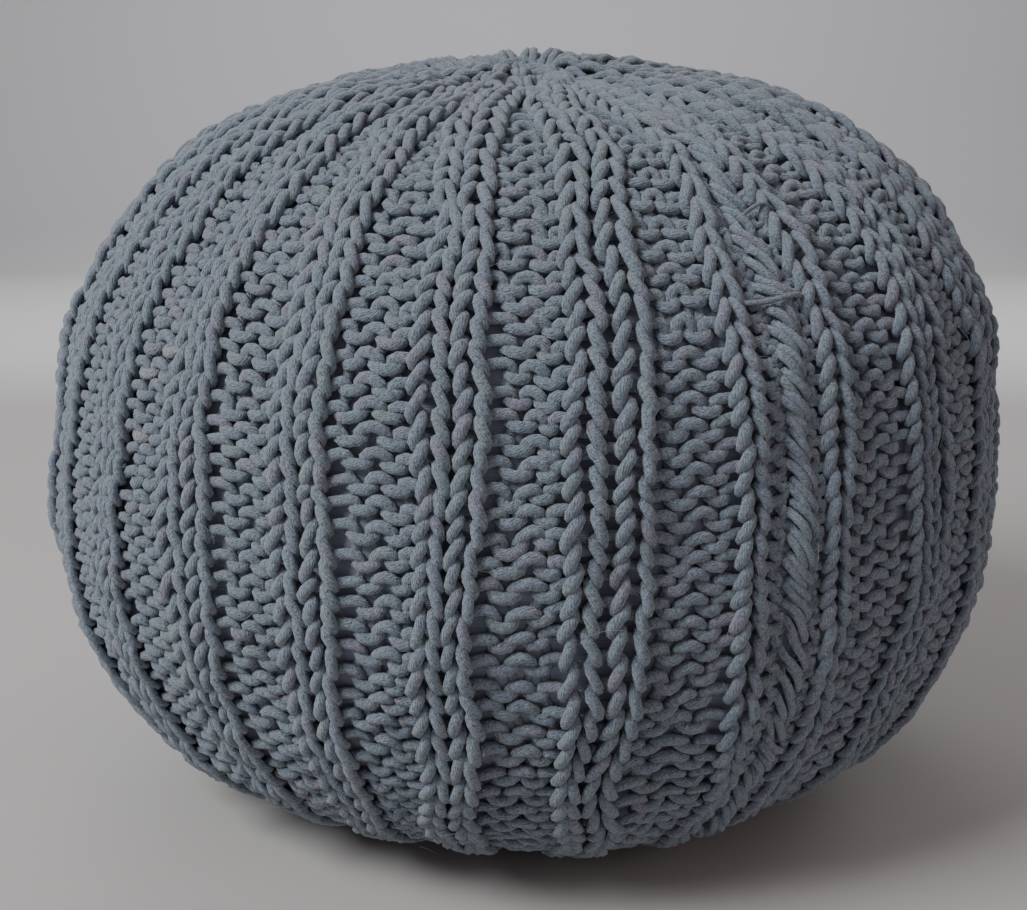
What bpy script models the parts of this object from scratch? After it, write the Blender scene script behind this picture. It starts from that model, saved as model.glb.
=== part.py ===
"""Knitted pouf: a ribbed cotton-cord cover drawn in over a filled round casing.

The cover is knitted as one long strip of two-and-two rib, sewn into a tube along one seam and
drawn together at its two ends.  It is a shell with the ribs standing out of it, open only at the
small gathered eye in the middle of the top.  The casing is the filled cushion inside it.

Metres, +Z up.  The origin is on the floor, below the middle of the pouf.  A turn of 0 faces -Y,
and a quarter turn faces +X.
"""

import math

import bpy
import numpy as np

# Outline of the pouf, measured on the crests of the ribs
RADIUS = 0.25            # largest half width
RISE = 0.2425            # from the widest level up to the top, before the hollow in it
DROP = 0.1550            # from the widest level down to the point that the sides run towards
FOOT = 0.1525            # from the widest level down to the flat base
TOP_ROUND = (2.0, 2.72)  # powers of the upper outline: (r / RADIUS)^a + (z / RISE)^b = 1
LOW_ROUND = (4.85, 1.49) # powers of the lower outline

# The gathered top
HOLLOW_DEPTH = 0.0255    # how far the middle of the top is drawn down
HOLLOW_WIDTH = 0.100     # radius over which it is drawn down
LIP_HEIGHT = 0.0040      # puckered ring round the eye
LIP_RADIUS = 0.026
LIP_WIDTH = 0.012
EYE_RADIUS = 0.007       # opening left by the drawn-in yarn

# How the filled body sits: fuller on the +X side, its top tipped to the front
FULLER_TOP = 0.051
FULLER_BASE = 0.026
TIP = 0.110
BACK_SHIFT = 0.017

# Ribs
RIBS = 24                # one of them is split by the seam
SEAM_GAP = 0.45          # extra width of the split rib, in rib pitches
FIRST_TURN = -0.1176     # turn of the rib left of the front
SEAM_RIB = 2             # how many ribs further on the seam is
RIB_HALF = 0.205         # half width of a rib's crest, in rib pitches
PANEL_HALF = 0.215       # half width of the floor of a panel between ribs, in rib pitches
RIB_HEIGHT = 0.0050      # how far the ribs stand out of the panels
SEAM_SINK = 0.0020       # the seam lies this far under the crests beside it
STRETCH = 0.12           # the knit is spread wider on the +X side
STRETCH_TURN = 0.22

COVER_THICKNESS = 0.0120 # from the crests to the inside of the cover
CASING_GAP = 0.0005

# Fineness of the faceted solids
OUTER_RINGS = 22
INNER_RINGS = 13
OUTLINE_STEPS = 400
SMALLEST_RING = 0.030    # innermost ring before the middle of the base

CORD_COLOUR = (0.155, 0.182, 0.212, 1.0)
CASING_COLOUR = (0.130, 0.160, 0.200, 1.0)


def clear_scene():
    for thing in list(bpy.data.objects):
        bpy.data.objects.remove(thing, do_unlink=True)


def cloth_material(name, colour, roughness):
    material = bpy.data.materials.new(name)
    material.use_nodes = True
    shader = material.node_tree.nodes["Principled BSDF"]
    shader.inputs["Base Color"].default_value = colour
    shader.inputs["Roughness"].default_value = roughness
    shader.inputs["Metallic"].default_value = 0.0
    material.diffuse_color = colour
    return material


def outline(depth):
    """Half outline from the middle of the top to the middle of the base, depth under the crests.

    Returns evenly spaced radii and heights, the heights counted from the widest level.
    """
    # Upper part: a superellipse with a hollow and a puckered ring in its middle
    t = np.linspace(0.5 * math.pi, 0.0, OUTLINE_STEPS)
    radius_up = RADIUS * np.cos(t) ** (2.0 / TOP_ROUND[0])
    height_up = RISE * np.sin(t) ** (2.0 / TOP_ROUND[1])
    height_up -= HOLLOW_DEPTH * np.exp(-((radius_up / HOLLOW_WIDTH) ** 2))
    height_up += LIP_HEIGHT * np.exp(-(((radius_up - LIP_RADIUS) / LIP_WIDTH) ** 2))
    # Lower part: a squarer superellipse, cut off flat where it stands
    t = np.linspace(0.0, 0.5 * math.pi, OUTLINE_STEPS)
    radius_low = RADIUS * np.cos(t) ** (2.0 / LOW_ROUND[0])
    height_low = np.maximum(-DROP * np.sin(t) ** (2.0 / LOW_ROUND[1]), -FOOT)
    radius = np.concatenate([radius_up, radius_low[1:]])
    height = np.concatenate([height_up, height_low[1:]])
    radius[0] = 0.0
    radius[-1] = 0.0
    return evenly(*inset(*evenly(radius, height), depth))


def evenly(radius, height):
    """The same curve with its points at equal distances along it."""
    along = np.concatenate([[0.0], np.cumsum(np.hypot(np.diff(radius), np.diff(height)))])
    want = np.linspace(0.0, along[-1], OUTLINE_STEPS)
    return np.interp(want, along, radius), np.interp(want, along, height)


def inset(radius, height, depth):
    """The curve moved inwards by depth, square to itself."""
    across, up = np.gradient(radius), np.gradient(height)
    length = np.hypot(across, up)
    radius_in = radius + depth * up / length
    height_in = height - depth * across / length
    keep = radius_in > 0.0
    radius_in = np.concatenate([[0.0], radius_in[keep], [0.0]])
    height_in = height_in[keep]
    height_in = np.concatenate([height_in[:1], height_in, height_in[-1:]])
    return radius_in, height_in


def columns():
    """Turn of every column of the mesh, and how far it lies under the crests.

    A rib has two columns on its crest and a panel has two on its floor.  The rib that the seam
    splits has two crests with the seam between them.
    """
    places = []
    sinks = []
    for rib in range(RIBS):
        middle = float(rib)
        if rib == SEAM_RIB:
            middle += 0.5 * SEAM_GAP
        if rib > SEAM_RIB:
            middle += SEAM_GAP
        spread = RIB_HALF
        if rib == SEAM_RIB:
            spread += 0.5 * SEAM_GAP
            inner = 0.5 * SEAM_GAP
            places += [middle - spread, middle - inner, middle, middle + inner, middle + spread]
            sinks += [0.0, 0.0, SEAM_SINK, 0.0, 0.0]
        else:
            places += [middle - spread, middle + spread]
            sinks += [0.0, 0.0]
        panel = middle + spread - RIB_HALF + 0.5
        places += [panel - PANEL_HALF, panel + PANEL_HALF]
        sinks += [RIB_HEIGHT, RIB_HEIGHT]
    pitch = 2.0 * math.pi / (RIBS + SEAM_GAP)
    even = FIRST_TURN + pitch * np.array(places)
    # The knit is stretched round the body: wider pitches on one side, closer ones on the other
    start = STRETCH * math.cos(FIRST_TURN + STRETCH_TURN)
    return even - STRETCH * np.cos(even + STRETCH_TURN) + start, np.array(sinks)


def settle(radius, height, turn):
    """Point in space of a place on the even body, after it has sagged to its resting shape."""
    up = np.clip(height / RISE, 0.0, 1.0)
    down = np.clip(-height / FOOT, 0.0, 1.0)
    radius = radius * (1.0 + (FULLER_TOP * up + FULLER_BASE * down) * np.sin(turn))
    x = radius * np.sin(turn)
    y = -radius * np.cos(turn)
    z = height + FOOT + TIP * y * up ** 2
    return np.stack([x, y + BACK_SHIFT * up ** 4, z], axis=-1)


def rings(depth, relief, count, first_radius, last_radius):
    """Rows of points round the body from the top down, count of them, depth under the crests."""
    radius, height = outline(depth)
    last = len(radius) - 1
    start = np.argmax(radius >= first_radius)
    end = last - np.argmax(radius[::-1] >= last_radius)
    steps = np.linspace(start, end, count)
    radius = np.interp(steps, np.arange(last + 1), radius)[:, None]
    height = np.interp(steps, np.arange(last + 1), height)[:, None]
    turns, sinks = columns()
    # The ribs stand out fully on the sides and fade where they crowd together at top and base
    fade = np.clip((radius / RADIUS - 0.25) / 0.5, 0.0, 1.0)
    upright = np.clip((height + FOOT) / 0.02, 0.0, 1.0)
    radius = radius - relief * sinks[None, :] * fade
    height = height - relief * sinks[None, :] * fade * upright * np.clip(height / RISE, 0.0, 1.0)
    return settle(radius, height, np.broadcast_to(turns[None, :], radius.shape))


def loft(name, rows, top, base):
    """One closed mesh through rows of points, with a middle point at either end."""
    across = rows.shape[1]
    verts = [top] + [tuple(p) for row in rows for p in row] + [base]
    faces = []
    for k in range(across):
        n = (k + 1) % across
        faces.append((0, 1 + k, 1 + n))
        for r in range(len(rows) - 1):
            a = 1 + r * across
            b = a + across
            faces.append((a + k, b + k, b + n, a + n))
        last = 1 + (len(rows) - 1) * across
        faces.append((last + k, len(verts) - 1, last + n))
    mesh = bpy.data.meshes.new(name)
    mesh.from_pydata(verts, [], faces)
    mesh.update()
    return bpy.data.objects.new(name, mesh)


def middle_point(depth, at_top):
    radius, height = outline(depth)
    end = 0 if at_top else -1
    point = settle(np.array([0.0]), height[[end]], np.array([0.0]))[0]
    return tuple(point)


def knitted_cover(collection):
    """Shell: inside from the middle of its floor up to the eye, over the lip, and down outside."""
    outside = rings(0.0, 1.0, OUTER_RINGS, EYE_RADIUS, SMALLEST_RING)
    inside = rings(COVER_THICKNESS, 0.0, INNER_RINGS, EYE_RADIUS, SMALLEST_RING)
    rows = np.concatenate([inside[::-1], outside])
    cover = loft("knitted_cover", rows,
                 middle_point(COVER_THICKNESS, False), middle_point(0.0, False))
    finish(cover, collection, cloth_material("cotton_cord", CORD_COLOUR, 0.9))


def inner_casing(collection):
    """Filled cushion, close under the cover all over."""
    depth = COVER_THICKNESS + CASING_GAP
    rows = rings(depth, 0.0, INNER_RINGS, EYE_RADIUS, SMALLEST_RING)
    casing = loft("inner_casing", rows, middle_point(depth, True), middle_point(depth, False))
    finish(casing, collection, cloth_material("casing_cloth", CASING_COLOUR, 0.8))


def finish(thing, collection, material):
    thing.data.materials.append(material)
    thing.data.shade_smooth()
    thing.data.set_sharp_from_angle(angle=math.radians(50.0))
    collection.objects.link(thing)


def main():
    clear_scene()
    collection = bpy.data.collections.new("knitted_pouf")
    bpy.context.scene.collection.children.link(collection)
    knitted_cover(collection)
    inner_casing(collection)


main()
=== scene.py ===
# Knitted pouf: two-and-two rib in thick cotton cord, seamed up one side and drawn in at the top
# and the base over a filled casing. The cord of one repeat of four stitches finds its place
# against its neighbours, and that is carried round the body, course by course.
import math
from functools import partial
import bpy
import numpy as np
from numpy import concatenate as join
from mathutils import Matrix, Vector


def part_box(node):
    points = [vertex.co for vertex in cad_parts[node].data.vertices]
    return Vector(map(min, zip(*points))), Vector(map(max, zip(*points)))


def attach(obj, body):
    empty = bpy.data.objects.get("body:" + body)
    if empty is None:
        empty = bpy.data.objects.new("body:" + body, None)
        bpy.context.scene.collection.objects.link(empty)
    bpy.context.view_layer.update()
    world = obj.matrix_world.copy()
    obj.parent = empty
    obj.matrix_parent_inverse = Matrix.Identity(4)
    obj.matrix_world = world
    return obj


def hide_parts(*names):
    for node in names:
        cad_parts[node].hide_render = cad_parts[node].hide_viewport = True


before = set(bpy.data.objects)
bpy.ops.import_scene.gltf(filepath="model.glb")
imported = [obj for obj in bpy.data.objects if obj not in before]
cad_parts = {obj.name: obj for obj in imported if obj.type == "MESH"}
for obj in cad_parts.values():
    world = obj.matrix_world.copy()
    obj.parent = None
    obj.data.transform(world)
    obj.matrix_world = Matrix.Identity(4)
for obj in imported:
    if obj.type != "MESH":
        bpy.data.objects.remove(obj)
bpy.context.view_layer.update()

mm = 0.001  # lengths are in metres
circle = 2 * math.pi


def unit(ways):
    # each row brought to length one
    return ways / np.linalg.norm(ways, axis=1, keepdims=True)


# the body: outline, and how the filled pouf has settled

coverLow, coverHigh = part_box("knitted_cover")
bodyRadius = 0.5 * (coverHigh.x - coverLow.x)

body = {
    "rise": 0.976,  # widest level to the top, before the hollow, in body radii
    "drop": 0.620,  # to where the sides would run together
    "foot": 0.610,  # to the flat base
    "topRound": (2.0, 2.72),
    "lowRound": (4.85, 1.49),
    "hollowDepth": 0.102,
    "hollowWidth": 0.400,
    "lipHeight": 0.016,
    "lipRadius": 0.104,
    "lipWidth": 0.048,
    "fullerTop": 0.051,  # fuller on the +X side than on the -X side
    "fullerBase": 0.026,
    "tip": 0.110,  # the top leans to the front
    "backShift": 0.068,
    # rises beside the gather: middle across and back, reach across and back, height
    "rises": ((50 * mm, 50 * mm, 105 * mm, 70 * mm, 6.5 * mm),
              (12 * mm, 24 * mm, 36 * mm, 15 * mm, 5.0 * mm)),
    "fullerLeft": 0.0095,
    "samples": 1600,
    "cornerSoft": 41,  # samples that soften its corners
}


def bodyOutline():
    # (r/R)^a + (z/rise)^b = 1 above and below the widest level, with a hollow and a puckered
    # ring at the top and a flat cut at the base; evenly spaced, from the top down
    t = np.linspace(math.pi / 2, 0, body["samples"])
    a, b = body["topRound"]
    rUp = np.cos(t) ** (2 / a)
    zUp = body["rise"] * np.sin(t) ** (2 / b)
    zUp -= body["hollowDepth"] * np.exp(-(rUp / body["hollowWidth"]) ** 2)
    zUp += body["lipHeight"] * np.exp(-((rUp - body["lipRadius"]) / body["lipWidth"]) ** 2)
    a, b = body["lowRound"]
    t = t[::-1]
    rLow = np.cos(t) ** (2 / a)
    zLow = np.maximum(-body["drop"] * np.sin(t) ** (2 / b), -body["foot"])
    r = join([rUp, rLow[1:]]) * bodyRadius
    z = join([zUp, zLow[1:]]) * bodyRadius
    r[0] = r[-1] = 0
    along = join([[0], np.cumsum(np.hypot(np.diff(r), np.diff(z)))])
    even = np.linspace(0, along[-1], body["samples"])
    r, z = np.interp(even, along, r), np.interp(even, along, z)
    # the direction square to it, pointing out, softened where the outline has a corner
    dr, dz = np.gradient(r, even), np.gradient(z, even)
    soft = np.ones(body["cornerSoft"]) / body["cornerSoft"]
    reach = body["cornerSoft"] // 2
    outR = np.convolve(np.pad(-dz, reach, mode="edge"), soft, mode="valid")
    outZ = np.convolve(np.pad(dr, reach, mode="edge"), soft, mode="valid")
    size = np.hypot(outR, outZ)
    return even, r, z, outR / size, outZ / size


outlineAt, outlineR, outlineZ, outlineOutR, outlineOutZ = bodyOutline()
outlineEnd = outlineAt[-1]
print("outline", round(outlineEnd, 3), "m from top to base")


def onBody(turn, s, out):
    # the point at a turn round the body (0 faces -Y), s metres down the outline from the top and
    # out metres off it: x = r sin(turn), y = -r cos(turn), then fuller to one side, tipped to the
    # front, raised beside the gather and shifted back
    r = np.interp(s, outlineAt, outlineR) + out * np.interp(s, outlineAt, outlineOutR)
    h = np.interp(s, outlineAt, outlineZ) + out * np.interp(s, outlineAt, outlineOutZ)
    up = np.clip(h / (body["rise"] * bodyRadius), 0, 1)
    down = np.clip(-h / (body["foot"] * bodyRadius), 0, 1)
    side = np.sin(turn)
    r = r * (1 + (body["fullerTop"] * up + body["fullerBase"] * down) * side)
    r = r * (1 + body["fullerLeft"] * np.maximum(-side, 0))
    x = r * np.sin(turn)
    y = -r * np.cos(turn)
    z = h + body["foot"] * bodyRadius + body["tip"] * y * up ** 2
    for acrossAt, backAt, reachAcross, reachBack, height in body["rises"]:
        far = ((x - acrossAt) / reachAcross) ** 2 + ((y - backAt) / reachBack) ** 2
        z = z + height * np.exp(-far) * up ** 3
    return np.stack([x, y + body["backShift"] * bodyRadius * up ** 4, z], axis=-1)


# the knit: how one repeat of four stitches lies

knit = {
    "cord": 5.0 * mm,
    "wide": 1.06,  # pressed a little flat: across, and off the body
    "flat": 0.90,
    "contact": 3.9 * mm,  # between the middles of two cords that cross
    "rowHeight": 10.3 * mm,
    # the courses are drawn out taller in places: how far down the outline, and by how much
    "tallAt": (0.02, 0.10, 0.20, 0.235, 0.275, 0.31, 0.36, 0.40, 0.43, 0.47, 0.60, 0.74),
    "tallBy": (1.25, 1.30, 1.30, 1.24, 1.10, 1.00, 0.99, 1.03, 1.12, 1.18, 1.20, 1.22),
    "loopLength": 44 * mm,
    # a loop before it settles: how far it bows out, in stitches, half its height, in courses, and
    # its height off the casing and swing in and out, in cords
    "firstLoop": (0.2, 0.76, 1.1, 0.6),
    "faceTurn": 4,  # how sharply it turns over from rib to panel
    "points": 16,  # of the cord in one stitch while it settles
    "finer": 12,  # and how many times as many once it is smoothed
    "widths": (16.5, 14.5, 12.5, 11.0, 9.5, 8.0, 6.5, 5.0, 3.5),
    "ribLift": 0.8,  # of knit stitches off the casing, in cords
    "foldDepth": 10.0 * mm,  # of the panels, where the ribs crowd together
    "footSpread": 0.020,  # keep the knit legs upright
    "legUpright": 0.015,
    # then the legs of a rib are brought to equal gaps: places in the repeat, and how far the cord
    # there moves across, in stitches
    "evenAt": (0, 0.23, 0.87, 1.13, 1.77, 2.0, 2.5, 3.0, 3.5),
    "evenBy": (0.08, 0.07, -0.06, 0.06, -0.09, -0.09, -0.05, 0, 0.05),
    "ribDraw": 0.005,  # draws the two knit stitches of a rib together
    "purlRound": 0.006,
    "rounding": 0.45,  # of the turns, in points
    # the purl stitches sit this far to the right in their panel: how sharply that starts, from
    # what width of stitch, and over how much more
    "panelShift": 2.4 * mm,
    "panelSharp": 1.6,
    "panelOpens": (5.6 * mm, 8 * mm),
    "ribRise": 1.0 * mm,  # the ribs stand up from the panels by this more
    "relief": 0.4 * mm,  # the free parts of the loops stand out beyond that
    "swell": 0.03,  # and how much thicker they are there
    "ribThick": 0.01,  # the cord of the ribs is less drawn out
    "lean": 0.03,  # the heads of the loops lean to the left
    "legSlant": 0.13,  # and the knit legs slant more, to either side
    # bends the purl bumps into rounder arches: the low ones, and the high ones
    "purlArch": (0.1 * mm, 1.1 * mm),
    # nearer the middle than this, over this distance, the ribs crowd and every other one is
    # pressed down
    "crowdFrom": 66 * mm,
    "crowdOver": 30 * mm,
    "crowdDown": (3 * mm, 8 * mm),
    "crowdUp": (-1 * mm, 3 * mm),
    "crowdTwist": 0.45,  # and are wound round by this turn
    "ribs": 24,
    "seamGap": 0.41,  # extra width at the seam, in rib pitches
    "seamRib": 2,  # ribs from the first one to the seam
    "firstTurn": -0.1176,
    "stretch": 0.12,  # the +X side is stretched wider
    "stretchTurn": 0.22,
}


# how the cord finds its place, step by step
settling = {
    "steps": (600, 160),  # for the widest stitches, and for each narrower width
    "grows": (0.75, 0.3),  # the cord is this thin at first, and full after this share of steps
    "drawn": (0.1, 0.5),  # then it is drawn to its length: from this share, over this one
    "keepLength": 0.45,
    "stiffness": 0.25,
    "pushApart": 0.5,
    "pushUp": 0.6,
    "holdIn": 0.02 * mm,  # towards the casing
    "ownReach": 1.35,  # along itself a cord doesn't touch within this, in cords
    "folds": (11 * mm, 5 * mm),  # the panels fold in below this width of stitch, over this
    "opens": (8 * mm, 6 * mm),  # the stitches open out above this one, over this
    "evenEvery": 10,  # steps
}


def faceOf(u):
    # +1 in the two knit stitches and -1 in the two purls: tanh(sharpness sin)
    return np.tanh(knit["faceTurn"] * np.sin(math.pi * u / 2))


def firstLoops(width):
    # the repeat before it settles: loops that hang down, wide at the head and narrow at the foot,
    # with the legs in front in the knit stitches and the heads in front in the purls
    n = knit["points"]
    u = np.arange(4 * n) / n
    t = circle * (u % 1 - 0.5)
    face = faceOf(u)
    bow, tall, middle, swing = knit["firstLoop"]
    x = width * (u + bow * np.sin(2 * t))
    v = tall * knit["rowHeight"] * np.cos(t)
    z = knit["cord"] * (middle - swing * np.cos(2 * t) * face)
    return np.stack([x, v, z], axis=-1), (face + 1) / 2


def settleLoops():
    # the cord pushes itself apart where it touches, keeps its length, resists bending and is held
    # in against the casing; the widest stitches first, then narrower ones
    n = knit["points"]
    count = 4 * n
    index = np.arange(count)
    u = index / n
    t = circle * (u % 1 - 0.5)
    height, cord = knit["rowHeight"], knit["contact"]
    halfLoop = knit["firstLoop"][1] * height
    # the repeat touches itself to either side, and the courses above and below
    images = [(across, down) for across in (-1, 0, 1) for down in (-2, -1, 0, 1, 2)]
    widths = np.array(knit["widths"]) * mm
    loops, front = firstLoops(widths[0])
    startLength = np.linalg.norm(np.diff(loops, axis=0), axis=1).sum() / 4
    outward = np.abs(np.sin(t)) * np.sign(np.sin(t)) * front * cord
    inRib = np.sin(math.pi * (u - 1)) * (np.abs(u - 1) < 1) * cord
    bump = np.cos(2 * t) * np.sign(np.cos(t)) * (1 - front) * cord
    low, high = knit["purlArch"]
    arch = -np.cos(6 * math.pi * u) * (low + (high - low) * (0.5 + 0.5 * np.cos(circle * u)))
    (thin, fullAt), (drawnFrom, drawnOver) = settling["grows"], settling["drawn"]
    (foldsAt, foldsOver), (opensAt, opensOver) = settling["folds"], settling["opens"]
    settled = []
    last = widths[0]
    for level, width in enumerate(widths):
        loops = loops * [width / last, 1, 1]
        last = width
        cell = np.array([4 * width, 0, 0])
        shifts = np.array([[a * 4 * width, d * height, 0] for a, d in images])
        plain = np.stack([width * index / n, 0 * index, 0 * index], axis=-1)
        steps = settling["steps"][min(level, 1)]
        narrow = np.clip((foldsAt - width) / foldsOver, 0, 1)
        opened = np.clip((width - opensAt) / opensOver, 0, 1)
        floor = cord * (0.5 + knit["ribLift"] * front) - knit["foldDepth"] * narrow * (1 - front)
        for step in range(steps):
            share = step / steps if level == 0 else 1
            reach = cord * min(1, thin + (1 - thin) * share / fullAt)
            grown = np.clip((share - drawnFrom) / drawnOver, 0, 1)
            segment = (startLength + (knit["loopLength"] - startLength) * grown) / n
            line = join([loops[-2:] - cell, loops, loops[:2] + cell])
            gap = line[2:-1] - line[1:-2]
            size = np.linalg.norm(gap, axis=1, keepdims=True)
            pull = settling["keepLength"] * (size - segment) / size * gap
            loops = loops + pull[1:] - pull[:-1]
            line = join([loops[-2:] - cell, loops, loops[:2] + cell])
            bend = 6 * loops - 4 * (line[3:-1] + line[1:-3]) + line[4:] + line[:-4]
            loops = loops - settling["stiffness"] * bend / 16
            apart = loops[:, None, None, :] - (loops[None] + shifts[:, None, :])[None]
            far = np.sqrt((apart ** 2).sum(-1)) + 1e-9
            near = far < reach
            skip = math.ceil(settling["ownReach"] * cord / segment)
            for k, (across, down) in enumerate(images):
                if down == 0:
                    near[:, k] &= np.abs(index[:, None] - index[None] - across * count) > skip
            push = (apart * np.where(near, (reach - far) / far, 0)[..., None]).sum((1, 2))
            loops = loops + settling["pushApart"] * push / np.maximum(1, near.sum((1, 2)))[:, None]
            loops[:, 2] -= settling["holdIn"]
            low = loops[:, 2] < floor
            loops[:, 2] += np.where(low, settling["pushUp"] * (floor - loops[:, 2]), 0)
            deep = loops[:, 1] / halfLoop
            side = knit["footSpread"] * np.minimum(deep, 0) + knit["legUpright"] * deep
            loops[:, 0] -= opened * (side * outward + knit["ribDraw"] * inRib)
            loops[:, 1] += opened * knit["purlRound"] * bump
            loops[:, 0] -= loops[:, 0].mean() - 2 * width * (count - 1) / count
            loops[:, 1] -= loops[:, 1].mean()
            if (step + 1) % settling["evenEvery"] == 0:
                # the rib and the panel are each the same on the left as on the right
                other = (loops - plain)[(2 * n - index) % count] * [-1, 1, 1]
                loops = 0.5 * (loops + plain + other)
        lie = loops - plain
        place = loops[:, 0] / width
        lie[:, 0] += opened * width * np.interp(place, knit["evenAt"], knit["evenBy"], period=4)
        slant = knit["lean"] + opened * knit["legSlant"] * np.sin(circle * place) * front
        lie[:, 0] -= slant * lie[:, 1]
        lie[:, 1] += opened * arch * (1 - front)
        settled.append(lie)
    return np.array(settled)


def smoothRepeat(lie):
    # more points, on a smooth closed curve: a cubic between each two that are settled
    times = knit["finer"]
    count = lie.shape[1]
    at = np.arange(count * times) / times
    i = np.floor(at).astype(int)
    f = (at - i)[None, :, None]
    a, b, c, d = (lie[:, (i + k) % count] for k in (-1, 0, 1, 2))
    fine = 0.5 * (2 * b + (c - a) * f + (2 * a - 5 * b + 4 * c - d) * f ** 2
                  + (3 * b - a - 3 * c + d) * f ** 3)
    # then a bell-shaped mean rounds the tight turns, as in a thick cord
    steps = np.arange(-3 * times, 3 * times + 1)
    share = np.exp(-0.5 * (steps / (knit["rounding"] * times)) ** 2)
    share /= share.sum()
    return sum(w * np.roll(fine, step, axis=1) for step, w in zip(steps, share))


settledLoops = settleLoops()
fineLoops = smoothRepeat(settledLoops)
crestHeight = settledLoops[0, :, 2].max() + 0.5 * knit["flat"] * knit["cord"]
repeatLength = fineLoops.shape[1]


rings = {
    "width": 2,  # which of the widths they are measured at
    "straight": 0.3,  # what a straight stretch counts for, in mean bends
    "hidden": 0.25,  # and the deepest one, against one that shows
    "panelTop": (0.3, 0.7),  # what shows in a panel, between the crests of ribs and panels
}


def ringPlaces():
    # the running sum of bend times show along the repeat, by which the cord's rings are spaced
    lie = fineLoops[rings["width"]]
    width = knit["widths"][rings["width"]] * mm
    across = 4 * width * np.arange(repeatLength) / repeatLength
    path = lie + np.stack([across, 0 * across, 0 * across], -1)
    step = np.roll(path, -1, axis=0) - path
    step[-1, 0] += 4 * width
    ahead = unit(step)
    bend = np.linalg.norm(np.roll(ahead, -1, axis=0) - ahead, axis=1)
    inRib = np.arange(repeatLength) < 0.5 * repeatLength
    crest, low = lie[:, 2].max(), lie[:, 2].min()
    ribPart, panelPart = rings["panelTop"]
    top = np.where(inRib, crest, ribPart * crest + panelPart * lie[~inRib, 2].max())
    shows = (lie[:, 2] - low) / (top - low)
    weight = (bend + rings["straight"] * bend.mean()) * (rings["hidden"] + (1 - rings["hidden"]) * shows)
    return join([[0], np.cumsum(weight) / weight.sum()])


ringShare = ringPlaces()
print("stitches settled, crests", round(crestHeight / mm, 2), "mm above the casing")

wales = 4 * knit["ribs"]
ribPitch = circle / (knit["ribs"] + knit["seamGap"])


# unevenness: what is near moves together, so no cord runs through another

uneven = {
    "seed": 5,
    # size of the waves, then how far they move the knit across, down and outwards
    "waves": ((220 * mm, 2.0 * mm, 2.0 * mm, 1.2 * mm),
              (70 * mm, 1.5 * mm, 1.3 * mm, 0.7 * mm),
              (24 * mm, 0.75 * mm, 0.75 * mm, 0.5 * mm)),
    "waveCount": 26,  # plane waves in a field, and their lengths against its size
    "waveSizes": (0.6, 1.3),
    "calmNear": 60 * mm,  # nearer the middle it calms down, to this share
    "calmLeast": 0.15,
    # how far, in mm, a rib swings aside at shares of the way down; ribs count from the first one
    "swayAt": (0.15, 0.26, 0.34, 0.45, 0.55, 0.66),
    "sway": {
        -2.0: (0, 0, 0, 0, 2.5, 4.5),
        -1.0: (3, 1.5, 0, 0, 0.5, 1),
        0.0: (-7, -1.5, 2, 0, -3.5, -5),
        1.0: (-1.5, 4.5, 2.5, 1.5, -0.5, -4),
        2.2: (2, -0.5, -0.5, 2.5, 4.5, 1.5),
    },
    "swayReach": 0.62,  # to either side, in ribs
    "swaySoft": 0.03,  # up and down, in shares
    # a rib that is pulled wide, at the same shares: how far its outer legs move apart, in mm
    "widen": {1.03: (0, 2, 3.4, 4, 2, 0)},
    "outerLeg": 0.2,  # from the middle of the rib, in ribs
    # where courses are pulled apart: in ribs, down the outline, reach across and down, share
    "opened": ((1.45, 256 * mm, 0.55, 66 * mm, 0.20),),
    "openedSoft": 1.5,  # how gently that fades above and below
    "loopSpread": 0.07,  # of single loops in size
    "cordSpread": 0.045,  # of the cord in thickness,
    "cordWave": 30 * mm,  # in waves of this size
}


def waveField(points, size, rng):
    # a random field of about unit strength: a sum of plane waves in random directions
    count = uneven["waveCount"]
    way = unit(rng.normal(size=(count, 3)))
    way *= circle / size * rng.uniform(*uneven["waveSizes"], (count, 1))
    start = rng.uniform(0, circle, count)
    return np.sin(points @ way.T + start).sum(1) * math.sqrt(2 / count)


def ribPlace(turn):
    # ribs to the right of the first one
    place = (turn - knit["firstTurn"]) / ribPitch
    return (place + 0.5 * knit["ribs"]) % (knit["ribs"] + knit["seamGap"]) - 0.5 * knit["ribs"]


def swingOf(values, s):
    # a rib's values at s metres down: the mean of three places, in metres
    soft = uneven["swaySoft"]
    near = [np.interp(s / outlineEnd + shift, uneven["swayAt"], values) for shift in (-soft, 0, soft)]
    return sum(near) / 3 * mm


def swayAt(turn, s):
    # how far the cords go aside: a rib's swing times exp(-(ribs away / reach)^2), and a wide one's
    # pull times leg exp(1/2 - leg^2/2)
    across = 0
    place = ribPlace(turn)
    for rib, values in uneven["sway"].items():
        across = across + np.exp(-((place - rib) / uneven["swayReach"]) ** 2) * swingOf(values, s)
    for rib, values in uneven["widen"].items():
        leg = (place - rib) / uneven["outerLeg"]
        across = across + leg * np.exp(0.5 - 0.5 * leg ** 2) * swingOf(values, s)
    return across


def openedAt(turn, s):
    # how far down the courses move where they are pulled apart: share times distance from the
    # middle times a bell
    down = 0
    place = ribPlace(turn)
    for rib, middle, wide, tall, share in uneven["opened"]:
        far = (s - middle) / tall
        bell = np.exp(-far ** 2 / uneven["openedSoft"] - ((place - rib) / wide) ** 2)
        down = down + share * tall * far * bell
    return down


def unevenAt(points):
    # how far the knit is moved across, down and outwards: a sum of wave fields
    rng = np.random.default_rng(uneven["seed"])
    moved = np.zeros((len(points), 3))
    for size, across, down, out in uneven["waves"]:
        for k, far in enumerate((across, down, out)):
            moved[:, k] += far * waveField(points, size, rng)
    return moved


# where the stitches go on the body

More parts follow.
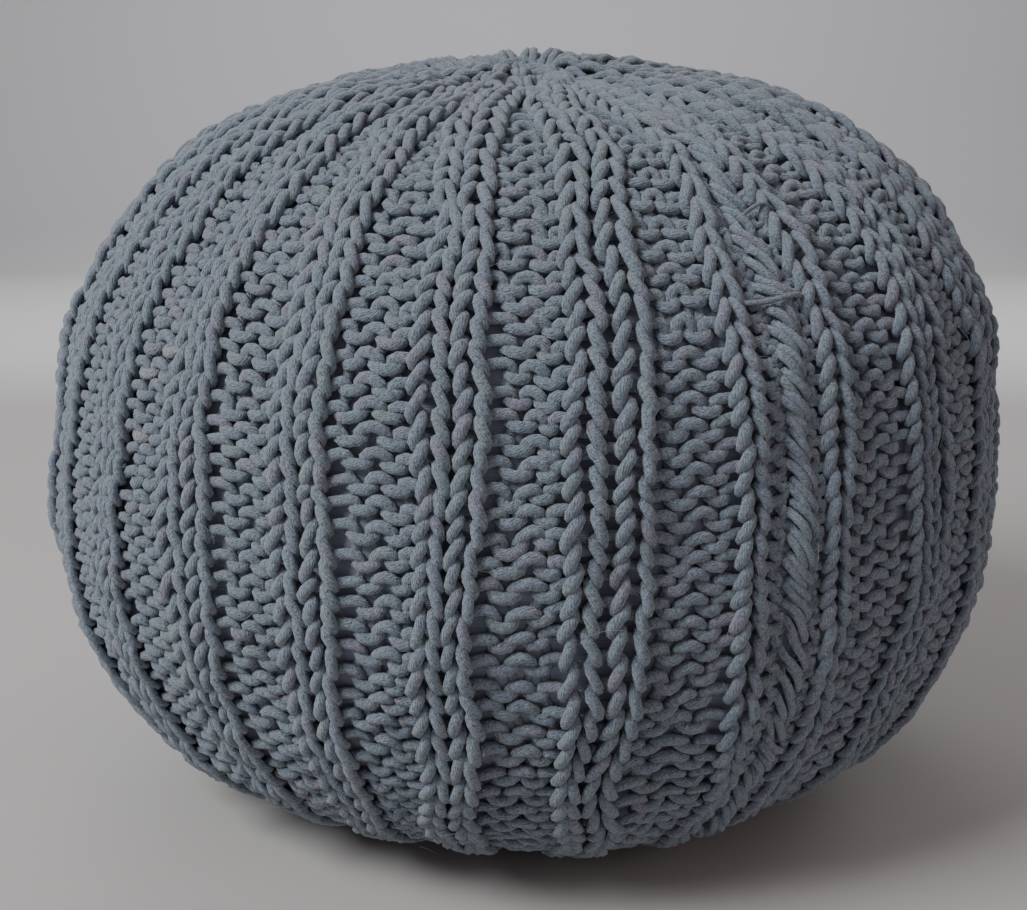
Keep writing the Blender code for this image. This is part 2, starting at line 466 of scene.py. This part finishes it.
# metres down the knit, before it is drawn out, at each place down the outline
drawnOut = np.interp(outlineAt[1:], knit["tallAt"], knit["tallBy"])
knitDown = join([[0], np.cumsum(np.diff(outlineAt) / drawnOut)])


def downOf(q):
    # metres down the outline at q metres down the knit before it is drawn out
    return np.interp(q, knitDown, outlineAt)


def knitOf(s):
    # and the other way round
    return np.interp(s, outlineAt, knitDown)


def turnOf(u):
    # turn of a place u stitches to the right of the seam, spread wider on the +X side
    seam = knit["seamRib"] + 0.5 * knit["seamGap"]
    places = seam + 0.5 * knit["seamGap"] + u / 4
    even = knit["firstTurn"] + ribPitch * places
    start = knit["stretch"] * math.cos(knit["firstTurn"] + knit["stretchTurn"])
    return even - knit["stretch"] * np.cos(even + knit["stretchTurn"]) + start


seamTurn = turnOf(-2 * knit["seamGap"])  # the middle of the seam's gap


def spreadOf(u):
    # how much wider than average the stitches are at u: the slope of the turn
    step = 0.01
    return (turnOf(u + step) - turnOf(u - step)) / (2 * step * ribPitch / 4)


def radiusAt(s, least):
    # distance from the axis, but never less than the least
    return np.maximum(np.interp(s, outlineAt, outlineR), least)


def placeCord(turn, s, out):
    # onto the body, moved by the unevenness there; with the direction off it
    moved = unevenAt(onBody(turn, s, 0 * s))
    r = radiusAt(s, 8 * mm)
    calm = np.clip(r / uneven["calmNear"], uneven["calmLeast"], 1)
    moved[:, 0] += swayAt(turn, s)
    moved[:, 1] += openedAt(turn, s)
    path = onBody(turn + calm * moved[:, 0] / r, s + calm * moved[:, 1], out + calm * moved[:, 2])
    off = onBody(turn, s, 1 * mm + 0 * s) - onBody(turn, s, 0 * s)
    return path, off


def ribLifts():
    # how far each rib is up or down where they crowd together
    rng = np.random.default_rng(uneven["seed"] + 3)
    up = rng.uniform(*knit["crowdUp"], knit["ribs"] + 1)
    down = rng.uniform(*knit["crowdDown"], knit["ribs"] + 1)
    return np.where(np.arange(knit["ribs"] + 1) % 2, up, -down)


liftOfRib = ribLifts()


def coursePath(q, points, rng):
    # turn, distance down, height and thickness of a course: the settled repeat for the local
    # stitch width, from its second knit stitch on, each loop a little its own size
    places = np.arange(repeatLength + 1) * 4 / repeatLength
    share = np.interp(1, places, ringShare) + np.arange(wales * points + 1) / (4 * points)
    u = np.interp(share % 1, ringShare, places) + 4 * np.floor(share) - 1
    r = np.interp(downOf(q), outlineAt, outlineR)
    width = np.maximum(r * ribPitch / 4 * spreadOf(u), 1.0 * mm)
    widths = np.array(knit["widths"][::-1]) * mm
    level = np.interp(width, widths, np.arange(len(widths))[::-1])
    lower = np.minimum(level.astype(int), len(widths) - 2)
    blend = (level - lower)[:, None]
    at = (u + 1) % 4 * repeatLength / 4
    first = at.astype(int) % repeatLength
    part = (at - np.floor(at))[:, None]
    lie = 0
    for way, share in ((first, 1 - part), ((first + 1) % repeatLength, part)):
        lie = lie + share * (fineLoops[lower, way] * (1 - blend) + fineLoops[lower + 1, way] * blend)
    own = np.interp(u, np.arange(wales) + 0.5, rng.normal(size=wales))
    lie[:, 1] *= 1 + uneven["loopSpread"] * own
    opensAt, opensOver = knit["panelOpens"]
    opened = np.clip((width - opensAt) / opensOver, 0, 1)
    wave = np.sin(math.pi * (u + 1) / 2)
    shift = knit["panelShift"] * 0.5 * (1 - np.tanh(knit["panelSharp"] * wave)) * opened
    turn = turnOf(u) + (lie[:, 0] + shift) / np.maximum(r, 6 * mm)
    # towards the middle the ribs crowd, some up and some down, and wind round
    crowd = np.clip((knit["crowdFrom"] - r) / knit["crowdOver"], 0, 1)
    rib = np.round(u / 4).astype(int)
    lie[:, 2] += crowd * liftOfRib[rib] * np.cos(math.pi * (u / 4 - rib)) ** 2
    turn = turn + knit["crowdTwist"] * crowd ** 2
    # the cord swells where it lies free and is squeezed where it crosses another
    face = faceOf(u + 1)
    free = -np.cos(4 * math.pi * u) * face
    thick = 1 + knit["swell"] * free + knit["ribThick"] * 0.5 * (1 + face)
    rise = knit["relief"] * free + knit["ribRise"] * np.maximum(wave, 0)
    return turn, downOf(q + lie[:, 1]), lie[:, 2] + rise - crestHeight, thick


# cords made into meshes

def buildMesh(name, verts, faces, uv=None):
    mesh = bpy.data.meshes.new(name)
    mesh.from_pydata(verts.tolist(), [], faces)
    mesh.shade_smooth()
    if uv is not None:
        layer = mesh.uv_layers.new(name="along")
        layer.data.foreach_set("uv", uv.astype(np.float32).ravel())
    piece = bpy.data.objects.new(name, mesh)
    bpy.context.scene.collection.objects.link(piece)
    return piece


def tubeFaces(count, around):
    # a tube of count rings: four-sided faces, and a fan to either end point; those come last
    i = np.arange(count - 1)[:, None] * around
    j = np.arange(around)
    k = (j + 1) % around
    quads = np.stack([i + j, i + k, i + around + k, i + around + j], -1).reshape(-1, 4)
    end = 0 * j + count * around
    last = (count - 1) * around
    fans = join([np.stack([end, k, j], -1), np.stack([end + 1, last + j, last + k], -1)])
    return quads, fans


def offFloor(points, least):
    # lifts what would sink into the floor
    points[:, 2] = np.maximum(points[:, 2], least)


def carryCord(path, out, size, sides, wide=1.0, flat=1.0):
    # an oval profile carried along a path of points, out is the direction off the body; also its
    # faces and a map of metres along and share of the way round
    ahead = unit(np.gradient(path, axis=0))
    side = unit(out - (out * ahead).sum(1, keepdims=True) * ahead)
    other = np.cross(ahead, side)
    around = np.arange(sides) * circle / sides
    ring = (flat * np.cos(around)[None, :, None] * side[:, None]
            + wide * np.sin(around)[None, :, None] * other[:, None])
    size = np.broadcast_to(size, len(path))
    verts = (path[:, None] + size[:, None, None] * ring).reshape(-1, 3)
    # rounded ends: a point beyond each end
    tips = path[[0, -1]] + 0.7 * size[[0, -1], None] * ahead[[0, -1]] * [[-1], [1]]
    quads, fans = tubeFaces(len(path), sides)
    j = np.arange(sides)[None, :]
    along = join([[0], np.cumsum(np.linalg.norm(np.diff(path, axis=0), axis=1))])
    uAt = np.stack([along[:-1], along[:-1], along[1:], along[1:]], -1)[:, None, :].repeat(sides, 1)
    vAt = np.stack([j, j + 1, j + 1, j], -1).repeat(len(path) - 1, 0) / sides
    uv = np.stack([uAt, vAt], -1).reshape(-1, 2)
    fanUv = join([np.stack([0 * j[0] + along[end], j[0] / sides], -1)[:, None].repeat(3, 1)
                  for end in (0, -1)])
    return join([verts, tips]), quads, fans, uv, fanUv.reshape(-1, 2)


def cordPiece(name, runs):
    # one piece from several cords
    verts, quads, fans, uvs, fanUvs = zip(*runs)
    starts = np.cumsum([0] + [len(v) for v in verts[:-1]])
    quads = join([q + start for q, start in zip(quads, starts)])
    fans = join([f + start for f, start in zip(fans, starts)])
    uv = join(uvs + fanUvs)
    piece = buildMesh(name, join(verts), quads.tolist() + fans.tolist(), uv)
    print(name, "triangles", 2 * len(quads) + len(fans))
    return piece


# the courses: the knit itself, turning back at the seam after each

courses = {
    "top": 21 * mm,  # how near the middle the first and last courses come
    "base": 34 * mm,
    # rings of the cord in one stitch and sides of its profile, for each band of courses; the last
    # band is the flat of the base, where nothing shows
    "points": (13, 16, 16, 16, 16, 16, 15, 8),
    "sides": (6, 6, 6, 6, 6, 6, 6, 5),
    "flatFrom": 125 * mm,  # from the middle of the base
    "edge": 0.50,  # past the last stitch, in stitches
    "edgeDown": -6.0 * mm,
    "edgeHeight": 3.6 * mm,  # above the casing
    "edgeThick": 1.25,
    "edgePoints": 4,  # rings of the cord there, and where it turns back
    "turnPoints": 5,
    "turnReach": 0.28,
    "floorGap": 0.2 * mm,
}


def edgeRun(turn, s, out, thick, outer, inner):
    # a course runs on past its last stitch, to the turn outer, and sinks behind the ribs
    step = np.linspace(0, 1, courses["edgePoints"] + 1)[1:]
    ease = step * step * (3 - 2 * step)
    return (turn + (outer - turn) * step, s + (inner[0] - s) * ease, out + (inner[1] - out) * ease,
            thick + (courses["edgeThick"] - thick) * ease)


def turnBack(first, second, bulge):
    # half a ring between the ends of two courses: out by bulge sin(angle)
    angle = np.linspace(0, math.pi, courses["turnPoints"] + 2)[1:-1]
    mix = 0.5 - 0.5 * np.cos(angle)
    joined = [a + (b - a) * mix for a, b in zip(first, second)]
    joined[0] = joined[0] + bulge * np.sin(angle)
    return joined


def makeCourses():
    # a course to each row height, every other one run the other way
    rng = np.random.default_rng(uneven["seed"] + 1)
    height = knit["rowHeight"]
    ends = courses["top"], outlineEnd - courses["flatFrom"], outlineEnd - courses["base"]
    first, plain, last = knitOf(ends)
    rows = int((last - first) / height) + 1
    baseFrom = int((plain - first) / height)
    edges = list(np.linspace(0, baseFrom, len(courses["points"])).astype(int)) + [rows]
    level = courses["edgeHeight"] - crestHeight
    pieces = []
    for band, (points, sides) in enumerate(zip(courses["points"], courses["sides"])):
        parts = []
        for row in range(edges[band], edges[band + 1]):
            q = first + row * height
            course = coursePath(q, points, rng)
            edge = downOf(q + courses["edgeDown"])
            right, left = (edgeRun(*(c[k] for c in course), turnOf(place), (edge, level))
                           for k, place in ((-1, wales + courses["edge"]), (0, -courses["edge"])))
            whole = [join([a[::-1], b, c]) for a, b, c in zip(left, course, right)]
            if row % 2:
                whole = [w[::-1] for w in whole]
            if parts:
                ends = [p[-1] for p in parts[-1]], [w[0] for w in whole]
                reach = courses["turnReach"] * ribPitch / 4 * (1 if row % 2 else -1)
                parts.append(turnBack(*ends, reach))
            parts.append(whole)
        turn, s, out, thick = (join([p[k] for p in parts]) for k in range(4))
        path, off = placeCord(turn, s, out)
        thick = thick * (1 + uneven["cordSpread"] * waveField(path, uneven["cordWave"], rng))
        size = 0.5 * knit["cord"] * thick
        offFloor(path, size * knit["wide"] + courses["floorGap"])
        run = carryCord(path, off, size, sides, knit["wide"], knit["flat"])
        pieces.append(cordPiece(f"knit_courses_{band + 1}", [run]))
    print("courses:", rows)
    return pieces


knitPieces = makeCourses()


# the seam: a doubled strand whipped over the edges, a stitch to each course

seam = {
    "strand": 4.1 * mm,
    "middle": 2.0 * mm,  # to the right of the middle of the gap
    "across": 4.7 * mm,  # half the width of a stitch
    "slant": 4.6 * mm,
    "over": 9.2 * mm,  # highest and lowest above the casing
    "under": 2.2 * mm,
    "apart": (3.0 * mm, 2.1 * mm),  # one strand from the other: across, and down
    "points": 15,
    "sides": 6,
    # how far the strands stray: in width of stitch, then down and outwards
    "wobble": (0.18, 1.1 * mm, 0.8 * mm),
    # the edge loops beside them: how far to either side, their sway and wander, height above the
    # casing and its rise, thickness, and how unevenly they run down, in courses
    "edgeAt": 9.6 * mm,
    "edgeSway": 1.9 * mm,
    "edgeWander": 0.6 * mm,
    "edgeOver": 5.2 * mm,
    "edgeRise": 0.8 * mm,
    "edgeThick": 4.4 * mm,
    "edgeUneven": 0.12,
    "edgePoints": 8,
    # stray strands across the seam: share of the way down, drop on the way, start and end across,
    # bend, thickness
    "strays": ((0.343, 6.5 * mm, -18 * mm, 15 * mm, 1 * mm, 2.5 * mm),
               (0.287, 1 * mm, 1 * mm, 17 * mm, -2.5 * mm, 1.9 * mm)),
    "strayOver": 12.4 * mm,  # height, the share of it at the ends, and bluntness of the arch
    "strayEnds": 0.35,
    "strayBlunt": 0.6,
    "strayPoints": 16,
    "startsAt": 0.2,  # below the first course, in courses
    "floorGap": 0.3 * mm,
}


def placeBeside(across, down, out, thick):
    # onto the body beside the seam, above the floor by half the thickness
    turn = seamTurn + (seam["middle"] + across) / radiusAt(down, 12 * mm)
    path, off = placeCord(turn, down, out - crestHeight)
    offFloor(path, 0.5 * thick + seam["floorGap"])
    return path, off


def makeSeam():
    # a flattened coil down the seam: across = -A cos(w), out = B sin(w), and down = w - C cos(w),
    # so that the stitches slant on the outside
    rng = np.random.default_rng(uneven["seed"] + 7)
    height = knit["rowHeight"]
    first, last = knitOf([courses["top"], outlineEnd - courses["base"]])
    rows = int((last - first) / height)
    w = np.linspace(0, circle * rows, rows * seam["points"])
    start = first + seam["startsAt"] * height
    runs = []
    for strand in (-0.5, 0.5):
        wobble = [far * np.interp(w, np.linspace(0, w[-1], 2 * rows), rng.normal(size=2 * rows))
                  for far in seam["wobble"]]
        across = -seam["across"] * (1 + wobble[0]) * np.cos(w) - strand * seam["apart"][0]
        down = start + height * w / (circle) - seam["slant"] * np.cos(w) + strand * seam["apart"][1]
        high, low = seam["over"], seam["under"]
        lift = 0.5 * (high + low) + 0.5 * (high - low) * np.sin(w)
        path, off = placeBeside(across, downOf(down + wobble[1]), lift + wobble[2], seam["strand"])
        runs.append(carryCord(path, off, 0.5 * seam["strand"], seam["sides"]))
    # the edge loops of the courses: a wavy cord down either side
    w = np.linspace(0, circle * rows, rows * seam["edgePoints"])
    for side in (-1, 1):
        stray = np.interp(w, np.linspace(0, w[-1], rows), rng.normal(size=rows))
        across = side * seam["edgeAt"] + seam["edgeSway"] * np.sin(w) + seam["edgeWander"] * stray
        rowsDown = w / (circle) + 0.5 - seam["edgeUneven"] * np.sin(2 * w)
        lift = seam["edgeOver"] + seam["edgeRise"] * np.cos(w)
        path, off = placeBeside(across, downOf(start + height * rowsDown), lift, seam["edgeThick"])
        runs.append(carryCord(path, off, 0.5 * seam["edgeThick"], seam["sides"]))
    # the stray strands: arches over the seam
    share = np.linspace(0, 1, seam["strayPoints"])
    ends = seam["strayEnds"]
    for place, drop, left, right, bend, thick in seam["strays"]:
        down = place * outlineEnd + drop * share + bend * np.sin(math.pi * share)
        lift = seam["strayOver"] * (ends + (1 - ends) * np.sin(math.pi * share) ** seam["strayBlunt"])
        path, off = placeBeside(left + (right - left) * share, down, lift, thick)
        runs.append(carryCord(path, off, 0.5 * thick, seam["sides"]))
    return cordPiece("seam_strands", runs)


seamPiece = makeSeam()


# the gathers: the last loops are drawn in on a cord

gather = {
    # where the cord starts and ends down the outline, how far off it, and its turns
    "ends": ((22 * mm, 2.5 * mm, -3.5 * mm, -7 * mm, 4.2),
             (outlineEnd - 34 * mm, outlineEnd - 3 * mm, -3 * mm, -5 * mm, 6.2)),
    "thick": 5.6 * mm,
    "wobble": 2.0 * mm,  # how far up and down, and how often in a turn
    "wobbles": 2.3,
    "points": 48,  # rings of the cord in a turn
    "sides": 8,
    "floorGap": 0.3 * mm,
}


def makeGathers():
    # a spiral that closes in to the middle, rising and falling less and less
    runs = []
    for start, end, high, low, turns in gather["ends"]:
        share = np.linspace(0, 1, int(gather["points"] * turns))
        w = circle * turns * share
        s = start + (end - start) * share
        out = high + (low - high) * share + gather["wobble"] * np.sin(gather["wobbles"] * w) * (1 - share)
        path = onBody(w, s, out)
        offFloor(path, 0.5 * gather["thick"] + gather["floorGap"])
        off = onBody(w, s, out + 1 * mm) - onBody(w, s, out)
        runs.append(carryCord(path, off, 0.5 * gather["thick"], gather["sides"]))
    return cordPiece("gather_cords", runs)


gatherPiece = makeGathers()


# loose fibres that stand off the soft cord

fuzz = {
    "count": 280,
    "atSeam": 0.2,  # share along the seam, and how near it, in turn
    "seamReach": 0.02,
    "clear": (15 * mm, 130 * mm),  # of the first course, and of the middle of the base
    "length": (5 * mm, 13 * mm),
    "wander": 1.2,
    "start": (-2.0, 0.0),  # height off the cords, and rise of the end above that, in mm
    "rise": (1.0, 3.5),
    "curl": 1.5,
    "taper": 1.3,
    "floorGap": 1 * mm,
    "thick": 0.16 * mm,
    "points": 6,
    "sides": 3,
}


def makeFibres():
    # each starts in the cords and wanders off along them, curling up at its end: rise share^curl
    rng = np.random.default_rng(uneven["seed"] + 11)
    share = np.linspace(0, 1, fuzz["points"])
    runs = []
    for fibre in range(fuzz["count"]):
        if rng.random() < fuzz["atSeam"]:
            turn = seamTurn + rng.normal() * fuzz["seamReach"]
        else:
            turn = rng.uniform(0, circle)
        s = rng.uniform(courses["top"] + fuzz["clear"][0], outlineEnd - fuzz["clear"][1])
        length = rng.uniform(*fuzz["length"])
        way = rng.uniform(0, circle) + rng.normal() * fuzz["wander"] * share
        step = length / (fuzz["points"] - 1)
        across = np.cumsum(np.cos(way)) * step
        down = np.cumsum(np.sin(way)) * step
        low, high = rng.uniform(*fuzz["start"]) * mm, rng.uniform(*fuzz["rise"]) * mm
        turn = turn + across / radiusAt(s, 20 * mm)
        path, off = placeCord(turn, s + down, low + high * share ** fuzz["curl"])
        offFloor(path, fuzz["floorGap"])
        runs.append(carryCord(path, off, 0.5 * fuzz["thick"] * (fuzz["taper"] - share), fuzz["sides"]))
    return cordPiece("loose_fibres", runs)


fibrePiece = makeFibres()


# the filled casing, close under the knit

lining = {
    "under": 2.8 * mm,  # swells this far up between the cords
    "follows": 0.7,  # the knit's rise and fall, by this share
    "foldFrom": 110 * mm,  # nearer the middle it folds in with the panels
    "foldOver": 60 * mm,
    "around": 72,
    "down": 56,
    "pole": 12 * mm,  # from the first and last rows to the middle
    "floorGap": 3 * mm,
}


def makeCasing():
    # the body's own surface, set in by the height of the knit, closed at both poles
    rows, columns = lining["down"], lining["around"]
    turns = np.linspace(0, circle, columns, endpoint=False)
    s = np.linspace(lining["pole"], outlineEnd - lining["pole"], rows)
    turn, s = (g.ravel() for g in np.broadcast_arrays(turns[None, :], s[:, None]))
    moved = unevenAt(onBody(turn, s, 0 * s))
    fold = np.clip((lining["foldFrom"] - radiusAt(s, 0)) / lining["foldOver"], 0, 1)
    deep = crestHeight - lining["under"] + knit["foldDepth"] * fold
    verts = onBody(turn, s, lining["follows"] * moved[:, 2] - deep)
    offFloor(verts, lining["floorGap"])
    poles = np.stack([verts[:columns].mean(0), verts[-columns:].mean(0)])
    # its rings run the other way round, so each face is turned over
    quads, fans = tubeFaces(rows, columns)
    faces = quads[:, [0, 3, 2, 1]].tolist() + fans[:, [0, 2, 1]].tolist()
    return buildMesh("casing", join([verts, poles]), faces)


casing = makeCasing()
print("casing done")


# materials

def linear(hexColour, lighter=1.0):
    # an sRGB hex colour as linear values
    parts = [int(hexColour[k:k + 2], 16) / 255 for k in (0, 2, 4)]
    return [lighter * (c / 12.92 if c <= 0.04045 else ((c + 0.055) / 1.055) ** 2.4) for c in parts] + [1.0]


def addNode(material, kind, **values):
    # one node: settings, and values or links of sockets by name, or by number after _; a node
    # given as a value is linked from its first output
    node = material.node_tree.nodes.new("ShaderNode" + kind)
    for name, value in values.items():
        if hasattr(node, name):
            setattr(node, name, value)
            continue
        socket = node.inputs[int(name[1:]) if name[0] == "_" else name.replace("_", " ")]
        value = value.outputs[0] if isinstance(value, bpy.types.Node) else value
        if isinstance(value, bpy.types.NodeSocket):
            material.node_tree.links.new(value, socket)
        else:
            socket.default_value = value
    return node


def newMaterial(name, colour, roughness, sheen=0.0):
    # fibres scatter the light: a weak gloss and a broad sheen
    material = bpy.data.materials.new(name)
    material.use_nodes = True
    shader = material.node_tree.nodes["Principled BSDF"]
    for socket, value in {"Base Color": linear(colour), "Roughness": roughness, "Sheen Weight": sheen,
                          "Specular IOR Level": 0.25, "Sheen Roughness": 0.6}.items():
        shader.inputs[socket].default_value = value
    return material, shader


cotton = {
    "colour": "6E7D8C",
    "green": "718189",
    "pink": "767B8B",
    "toneAt": (0.30, 0.70),  # where the drift is all green and all pink
    "drift": 45,  # drifts of colour to a metre of cord: one in 22 mm
    "seamLighter": 1.12,  # the strands of the seam against the rest
    "roughness": 0.92,
    "sheen": 0.35,
    "strands": 13,  # round the cord
    "lay": 34 * mm,  # the length in which a strand goes once round
    "fibres": (850, 17),  # to a metre along it, one in 1.2 mm, and once round it
    "curls": 560,  # to a metre: one in 1.8 mm, coarser than real ones so that they show
    "ridge": 0.07,  # height of the strands against the fibres
    "bump": 1.2 * mm,
    "paintedShadeRelief": (0.68, 1.32),  # lowest and highest relief, then how dark the painted shade between the fibres and how light the painted highlight on them
    "paintedShadeAndHighlight": (0.49, 1.74),
    # single stitches that took less dye: colour, places, where it fades from and to, and its
    # stretch in each direction
    "pale": "888F96",
    "paleAt": ((-150 * mm, -177 * mm, 255 * mm), (-161 * mm, -171 * mm, 244 * mm),
               (-164 * mm, -175 * mm, 217 * mm)),
    "paleReach": (7.5 * mm, 4.0 * mm),
    "paleFlat": (1, 1, 1.6),
}


def cottonCord(name, lighter=1.0):
    # soft cotton cord, matt with a pale bloom: fine strands wound at a slant, fibres along them,
    # and a dye that wanders from bluish to greenish and pinkish grey
    material, shader = newMaterial(name, cotton["colour"], cotton["roughness"], cotton["sheen"])
    add, link = partial(addNode, material), material.node_tree.links.new
    place = add("UVMap", uv_map="along")
    split = add("SeparateXYZ", Vector=place.outputs["UV"])
    along, around = split.outputs["X"], split.outputs["Y"]
    # the strands: sin(2 pi strands (around + along / lay))
    wound = add("Math", operation="MULTIPLY_ADD", _0=along, _1=1 / cotton["lay"], _2=around)
    angle = add("Math", operation="MULTIPLY", _0=wound, _1=circle * cotton["strands"])
    ridge = add("Math", operation="SINE", _0=angle)
    # fibres: noise drawn out along the strands, and a curl all over
    long, wide = (add("Math", operation="MULTIPLY", _0=way, _1=times)
                  for way, times in zip((along, wound), cotton["fibres"]))
    fibrePlace = add("CombineXYZ", X=long, Y=wide)
    fibres = add("TexNoise", noise_dimensions="2D", Vector=fibrePlace, Scale=1.0, Detail=3.0, Roughness=0.6)
    onPouf = add("TexCoord").outputs["Object"]
    curls = add("TexNoise", Vector=onPouf, Scale=cotton["curls"], Detail=4.0, Roughness=0.7)
    relief = add("Math", operation="MULTIPLY_ADD", _0=ridge, _1=cotton["ridge"], _2=fibres)
    relief = add("Math", operation="ADD", _0=curls, _1=relief)
    bump = add("Bump", Height=relief, Strength=1.0, Distance=cotton["bump"])
    link(bump.outputs["Normal"], shader.inputs["Normal"])
    # the colour wanders along the cord
    driftPlace = add("Math", operation="MULTIPLY", _0=along, _1=cotton["drift"])
    drift = add("TexNoise", noise_dimensions="1D", W=driftPlace, Scale=1.0, Detail=2.0)
    tone = add("ValToRGB", Fac=drift)
    ramp = tone.color_ramp
    for stop, at, colour in zip(ramp.elements, cotton["toneAt"], ("green", "pink")):
        stop.position, stop.color = at, linear(cotton[colour], lighter)
    ramp.elements.new(0.5).color = linear(cotton["colour"], lighter)
    # single stitches are pale, by distance to the nearest
    nearest = 1.0
    for place in cotton["paleAt"]:
        away = add("VectorMath", operation="SUBTRACT", _0=onPouf, _1=place)
        flat = add("VectorMath", operation="MULTIPLY", _0=away, _1=cotton["paleFlat"])
        far = add("VectorMath", operation="LENGTH", _0=flat)
        nearest = add("Math", operation="MINIMUM", _0=far.outputs["Value"], _1=nearest)
    start, end = cotton["paleReach"]
    lessDye = add("MapRange", Value=nearest, From_Min=start, From_Max=end)
    dyed = add("Mix", data_type="RGBA", _0=lessDye, _6=tone, _7=linear(cotton["pale"], lighter))
    # painted shade, darker between the fibres, and painted highlight, lighter on them
    low, high = cotton["paintedShadeRelief"]
    paintedShadeRelief = add("MapRange", Value=relief, From_Min=low, From_Max=high)
    dark, light = cotton["paintedShadeAndHighlight"]
    paintedShadeAndHighlight = add("MapRange", Value=paintedShadeRelief, To_Min=dark, To_Max=light)
    shade = add("Mix", data_type="RGBA", blend_type="MULTIPLY", _0=1.0, _6=dyed.outputs[2], _7=paintedShadeAndHighlight)
    link(shade.outputs[2], shader.inputs["Base Color"])
    return material


casingCloth = {
    "colour": "8790A3",
    "roughness": 0.9,
    "sheen": 0.2,
    "thread": 0.9 * mm,
    "bandScale": 2 / 6.28,  # the wave texture's scale for bands a metre apart
    "bump": 0.3 * mm,
}


def wovenCasing():
    # plain woven casing, matt with a faint weave, seen only through the knit
    look = (casingCloth[name] for name in ("colour", "roughness", "sheen"))
    material, shader = newMaterial("casingCloth", *look)
    add = partial(addNode, material)
    place = add("TexCoord")
    weave = add("TexWave", bands_direction="Z", Vector=place.outputs["Object"],
                Scale=casingCloth["bandScale"] / casingCloth["thread"], Distortion=1.5)
    bump = add("Bump", Height=weave.outputs["Fac"], Strength=0.5, Distance=casingCloth["bump"])
    material.node_tree.links.new(bump.outputs["Normal"], shader.inputs["Normal"])
    return material


# single cotton hairs, matt and paler than the cord
hair = {
    "colour": "A3A9AE",
    "roughness": 0.8,
    "sheen": 0.3,
}

cordFinish = cottonCord("cottonCord")
seamFinish = cottonCord("cottonStrands", cotton["seamLighter"])
clothFinish = wovenCasing()
fibreFinish = newMaterial("looseFibre", *hair.values())[0]
finishes = {seamPiece: seamFinish, fibrePiece: fibreFinish}
for piece in knitPieces + [seamPiece, gatherPiece, fibrePiece]:
    piece.data.materials.append(finishes.get(piece, cordFinish))
    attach(piece, "root")
    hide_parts("knitted_cover")
casing.data.materials.append(clothFinish)
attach(casing, "root")
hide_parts("inner_casing")
print("materials done")


# floor, light and camera

stage = {
    "floor": "B8B7B5",  # matt painted board, plain and pale
    "floorRoughness": 0.75,
    "deep": 2.6,  # to where the floor turns up
    "bend": 0.8,
    "bendPoints": 24,
    "tall": 3.0,
    "half": 6.0,
    "below": 0.5 * mm,  # just under the pouf
    "sky": "E5D5DA",
    "skyStrength": 0.33,
}

# name, place, what it points at, size, power, colour
lamps = (
    ("window", (-1.6, -1.15, 1.9), (0, 0, 0.2), 1.1, 65, "FFFFFF"),
    ("fill", (1.9, -1.6, 1.0), (0, 0, 0.2), 1.5, 6.4, "FFF0E8"),
    ("backdrop", (0, 1.5, 1.6), (0, 3.4, 1.0), 2.4, 40, "E4ECFA"),
    ("behind", (-0.5, 2.3, 1.5), (0, 0, 0.2), 1.6, 16, "FFFFFF"),
    ("side", (1.7, 1.9, 1.2), (0, 0, 0.2), 1.4, 13, "FFFFFF"),
)


def makeStage():
    # a floor that turns up into a wall behind: straight, a quarter ring, straight
    angle = np.linspace(0, math.pi / 2, stage["bendPoints"])
    deep, bend, half = stage["deep"], stage["bend"], stage["half"]
    y = join([[-half], deep + bend * np.sin(angle), [deep + bend]])
    z = join([[0], bend * (1 - np.cos(angle)), [stage["tall"]]]) - stage["below"]
    sides = np.array([-half, half])
    verts = np.stack(np.broadcast_arrays(sides[None, :], y[:, None], z[:, None]), -1).reshape(-1, 3)
    i = np.arange(len(y) - 1)
    faces = np.stack([2 * i, 2 * i + 1, 2 * i + 3, 2 * i + 2], -1)
    floor = buildMesh("floor", verts, faces.tolist())
    floor.data.materials.append(newMaterial("paleFloor", stage["floor"], stage["floorRoughness"])[0])


def makeLight():
    # an even sky, and soft square lamps
    world = bpy.data.worlds.new("studio")
    bpy.context.scene.world = world
    world.use_nodes = True
    sky = world.node_tree.nodes["Background"].inputs
    sky["Color"].default_value = linear(stage["sky"])
    sky["Strength"].default_value = stage["skyStrength"]
    for name, place, aim, size, power, colour in lamps:
        lamp = bpy.data.lights.new(name, "AREA")
        lamp.size = size
        lamp.energy = power
        lamp.color = linear(colour)[:3]
        light = bpy.data.objects.new(name, lamp)
        bpy.context.scene.collection.objects.link(light)
        light.location = place
        light.visible_camera = False
        away = np.array(place) - aim
        light.rotation_euler = (math.acos(away[2] / np.linalg.norm(away)), 0,
                                math.atan2(away[1], away[0]) + math.pi / 2)


view = {
    "distance": 3.3,  # from the pouf's widest level, in body radii
    "tilt": 14,  # looking down, in degrees
    "sensor": 36,
    "lens": 51.8,
    "shift": (-0.0083, 0.0273),
}


def makeCamera():
    lens = bpy.data.cameras.new("camera")
    camera = bpy.data.objects.new("camera", lens)
    bpy.context.scene.collection.objects.link(camera)
    distance = view["distance"] * bodyRadius
    tilt = math.radians(view["tilt"])
    middle = body["foot"] * bodyRadius
    camera.location = (0, -distance * math.cos(tilt), middle + distance * math.sin(tilt))
    camera.rotation_euler = (math.pi / 2 - tilt, 0, 0)
    lens.sensor_width = view["sensor"]
    lens.lens = view["lens"]
    lens.shift_x, lens.shift_y = view["shift"]
    bpy.context.scene.camera = camera


makeStage()
makeLight()
makeCamera()
print("stage done")
